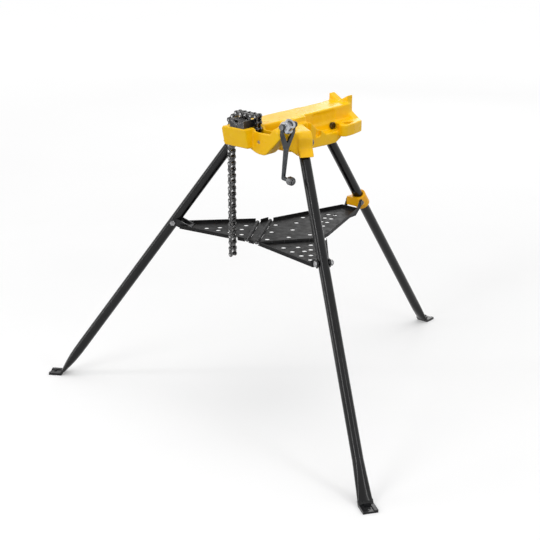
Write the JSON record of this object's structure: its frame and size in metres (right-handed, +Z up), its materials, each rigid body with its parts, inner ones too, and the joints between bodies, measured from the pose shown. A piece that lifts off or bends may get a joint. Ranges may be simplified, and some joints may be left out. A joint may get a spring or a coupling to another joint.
{
  "type": "tripod chain pipe vise stand",
  "caption": "Folding tripod stand with a chain pipe vise on top, a crank-driven draw screw, jaw inserts, a rear pipe rest with bender lugs and a hinged tool tray.",
  "frame": {"origin": "middle of the bounding box on the floor, under the stand", "axes": "+Z up; -Y towards the jaws and the front of the stand, +Y towards the single rear leg; +X towards the crank"},
  "size_m": [1.1416, 1.0584, 0.7886],
  "materials": {
    "casting_paint": "gloss",
    "collar_paint": "gloss",
    "jaw_steel": "satin",
    "chain_steel": "satin",
    "leg_paint": "semi-gloss",
    "hinge_steel": "satin",
    "tray_paint": "semi-gloss",
    "zinc": "satin",
    "screw_steel": "satin",
    "crank_steel": "satin",
    "grip_steel": "satin",
    "fastener": "satin"
  },
  "bodies": {
    "head": {"base_casting": "casting_paint", "jaw_insert_right": "jaw_steel", "jaw_insert_left": "jaw_steel", "jaw_screws": "fastener", "chain_guide_pin": "fastener", "thrust_washer": "zinc", "pivot_bolts": "fastener", "pivot_nuts": "fastener", "chain_riser_plates": "chain_steel", "chain_riser_pins": "chain_steel", "chain_riser_rollers": "chain_steel"},
    "chain_over": {"chain_over_plates": "chain_steel", "chain_over_pins": "chain_steel", "chain_over_rollers": "chain_steel"},
    "chain_tail": {"chain_tail_plates": "chain_steel", "chain_tail_pins": "chain_steel", "chain_tail_rollers": "chain_steel"},
    "take_up_inner": {"take_up_link_inner": "chain_steel", "take_up_pin_inner": "chain_steel"},
    "take_up_outer": {"take_up_link_outer": "chain_steel", "take_up_pin_outer": "chain_steel"},
    "screw": {"draw_screw": "screw_steel"},
    "crank_hub": {"crank_nut": "zinc", "crank_pins": "crank_steel"},
    "crank_arm": {"crank_handle": "crank_steel", "grip_stud": "crank_steel"},
    "grip": {"crank_grip": "grip_steel"},
    "leg_rear": {"leg_rear": "leg_paint", "rear_collar": "collar_paint", "tray_pivot_pins": "hinge_steel"},
    "leg_right": {"leg_right": "leg_paint", "wing_bolt_right": "zinc", "wing_bolt_nut_right": "zinc", "wing_fork_right": "tray_paint"},
    "leg_left": {"leg_left": "leg_paint", "wing_bolt_left": "zinc", "wing_bolt_nut_left": "zinc", "wing_fork_left": "tray_paint"},
    "tray": {"tray_main": "tray_paint", "tray_rear_fork": "tray_paint", "hinge_pin_right": "hinge_steel", "hinge_pin_strip": "hinge_steel"},
    "tray_strip": {"tray_hinge_strip": "tray_paint", "hinge_pin_fold": "hinge_steel"},
    "wing_right": {"tray_wing_right": "tray_paint"},
    "wing_left": {"tray_wing_left": "tray_paint"}
  },
  "joints": [
    {"name": "leg_fold", "type": "hinge", "parent": "head", "child": "leg_rear", "pos_m": [0, -0.01914, 0.712], "axis": [-1, 0, 0], "range_deg": [0, 32]},
    {"name": "leg_right_fold", "type": "hinge", "parent": "head", "child": "leg_right", "pos_m": [0.10115, -0.21544, 0.712], "axis": [0.5446, 0.8387, 0], "range_deg": [0, 32]},
    {"name": "leg_left_fold", "type": "hinge", "parent": "head", "child": "leg_left", "pos_m": [-0.10115, -0.21544, 0.712], "axis": [0.5446, -0.8387, 0], "range_deg": [0, 32]},
    {"name": "tray_drop", "type": "hinge", "parent": "leg_rear", "child": "tray", "pos_m": [0, 0.13325, 0.468], "axis": [1, 0, 0], "range_deg": [0, 77]},
    {"name": "wing_right_fold", "type": "hinge", "parent": "tray", "child": "wing_right", "pos_m": [0.012, -0.28675, 0.4515], "axis": [0.5928, 0.8053, 0], "range_deg": [0, 83]},
    {"name": "strip_fold", "type": "hinge", "parent": "tray", "child": "tray_strip", "pos_m": [0.012, -0.28675, 0.4515], "axis": [0.5138, -0.8579, 0], "range_deg": [0, 20]},
    {"name": "wing_left_fold", "type": "hinge", "parent": "tray_strip", "child": "wing_left", "pos_m": [-0.019, -0.28675, 0.4515], "axis": [0.5342, -0.8453, 0], "range_deg": [0, 37]},
    {"name": "crank_turn", "type": "hinge", "parent": "head", "child": "crank_hub", "pos_m": [0.127, -0.29725, 0.772], "axis": [-0.7071, 0, -0.7071], "range_deg": [0, 540]},
    {"name": "screw_draw", "type": "slide", "parent": "head", "child": "screw", "axis": [0.7071, 0, 0.7071], "range_m": [0, 0.003]},
    {"name": "take_up_inner_turn", "type": "hinge", "parent": "head", "child": "take_up_inner", "pos_m": [0.04402, -0.29725, 0.71], "axis": [0, -1, 0], "range_deg": [0, 13.45]},
    {"name": "take_up_outer_turn", "type": "hinge", "parent": "take_up_inner", "child": "take_up_outer", "pos_m": [0.05891, -0.29725, 0.70451], "axis": [0, 1, 0], "range_deg": [0, 20.5]},
    {"name": "crank_swing", "type": "hinge", "parent": "crank_hub", "child": "crank_arm", "pos_m": [0.127, -0.29725, 0.772], "axis": [0, -1, 0], "range_deg": [0, 180]},
    {"name": "chain_lift", "type": "hinge", "parent": "head", "child": "chain_over", "pos_m": [0.03, -0.29725, 0.78094], "axis": [0, 1, 0], "range_deg": [0, 60]},
    {"name": "chain_trail", "type": "hinge", "parent": "chain_over", "child": "chain_tail", "pos_m": [-0.05782, -0.29725, 0.63354], "axis": [0, 1, 0], "range_deg": [-96, 0]},
    {"name": "grip_spin", "type": "hinge", "parent": "crank_arm", "child": "grip", "pos_m": [0.11217, -0.29725, 0.64184], "axis": [0.9936, 0, -0.1132], "continuous": true}
  ],
  "couplings": [
    {"joint": "leg_right_fold", "follows": "leg_fold", "ratio": 1},
    {"joint": "leg_left_fold", "follows": "leg_fold", "ratio": 1},
    {"joint": "tray_drop", "follows": "leg_fold", "ratio": 2.4062},
    {"joint": "wing_right_fold", "follows": "leg_fold", "ratio": 2.5938},
    {"joint": "strip_fold", "follows": "leg_fold", "ratio": 0.625},
    {"joint": "wing_left_fold", "follows": "leg_fold", "ratio": 1.1562},
    {"joint": "screw_draw", "follows": "crank_turn", "m_per_rad": 0.00031831},
    {"joint": "take_up_inner_turn", "follows": "crank_turn", "ratio": 0.024911},
    {"joint": "take_up_outer_turn", "follows": "crank_turn", "ratio": 0.037954},
    {"joint": "crank_swing", "follows": "crank_turn", "ratio": 0.33333},
    {"joint": "chain_trail", "follows": "chain_lift", "ratio": -1.6}
  ]
}
